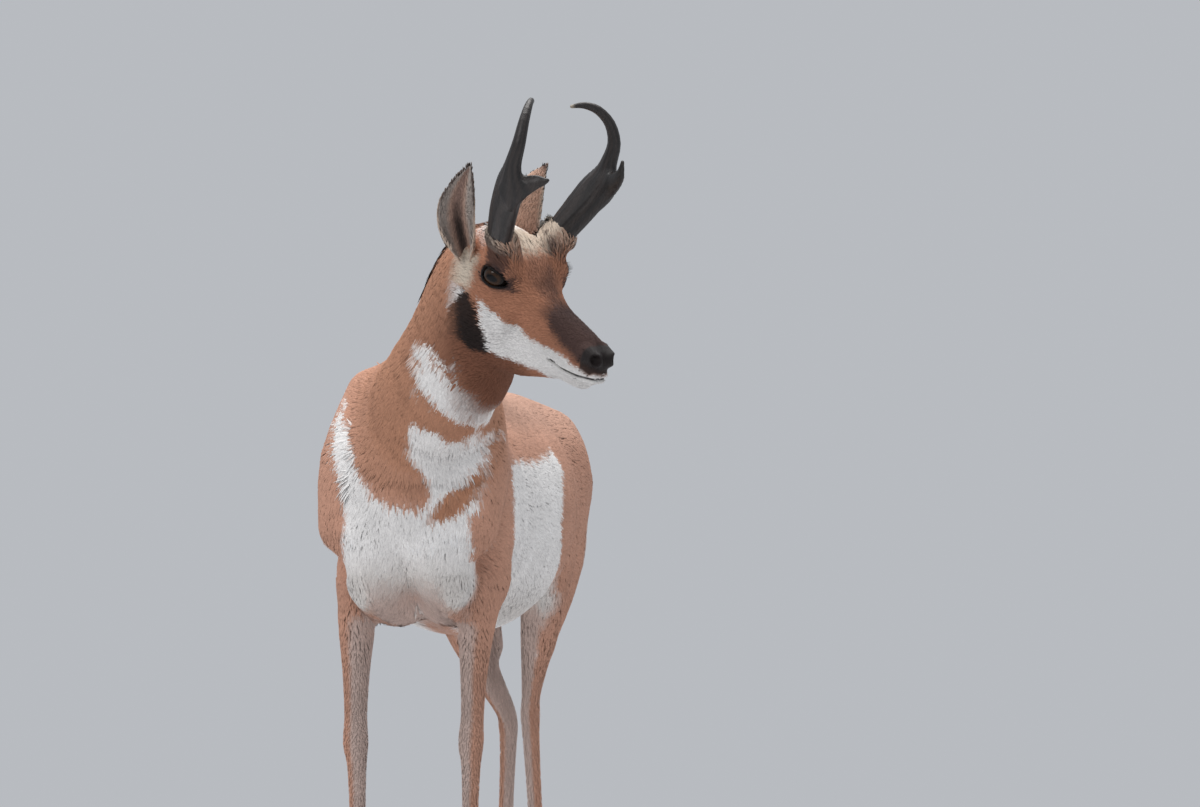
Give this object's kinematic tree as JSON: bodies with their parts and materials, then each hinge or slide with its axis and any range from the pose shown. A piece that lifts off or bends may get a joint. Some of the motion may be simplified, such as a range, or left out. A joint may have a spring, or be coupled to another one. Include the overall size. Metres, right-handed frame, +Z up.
{
  "type": "pronghorn buck",
  "caption": "Life-size standing pronghorn buck, head turned to its left, hooked horns with a forward prong, tan coat with white belly, rump and throat bands.",
  "frame": {"origin": "middle of the bounding box's foot, on the floor between the fore and hind feet", "axes": "+Z up, -Y the way the chest faces, +X the buck's left side"},
  "size_m": [0.5408, 1.2774, 1.2164],
  "materials": {
    "coat": "short dense fur, tan above and white below, flat and matte",
    "horn": "black horn with a fine grain along it, satin, pale tips",
    "hoof": "dark horn, satin",
    "eye": "wet and glossy, nearly black"
  },
  "bodies": {
    "root": {"head": "coat", "ear_left": "coat", "ear_right": "coat", "eye_left": "eye", "eye_right": "eye", "horn_left": "horn", "horn_right": "horn", "neck": "coat", "torso": "coat", "tail": "coat", "foreleg_left_lower": "coat", "foreleg_left_upper": "coat", "foreleg_right_lower": "coat", "foreleg_right_upper": "coat", "hindleg_left_lower": "coat", "hindleg_left_upper": "coat", "hindleg_right_lower": "coat", "hindleg_right_upper": "coat", "hoof_foreleg_left_inner": "hoof", "hoof_foreleg_left_outer": "hoof", "hoof_foreleg_right_inner": "hoof", "hoof_foreleg_right_outer": "hoof", "hoof_hindleg_left_inner": "hoof", "hoof_hindleg_left_outer": "hoof", "hoof_hindleg_right_inner": "hoof", "hoof_hindleg_right_outer": "hoof"}
  },
  "joints": []
}
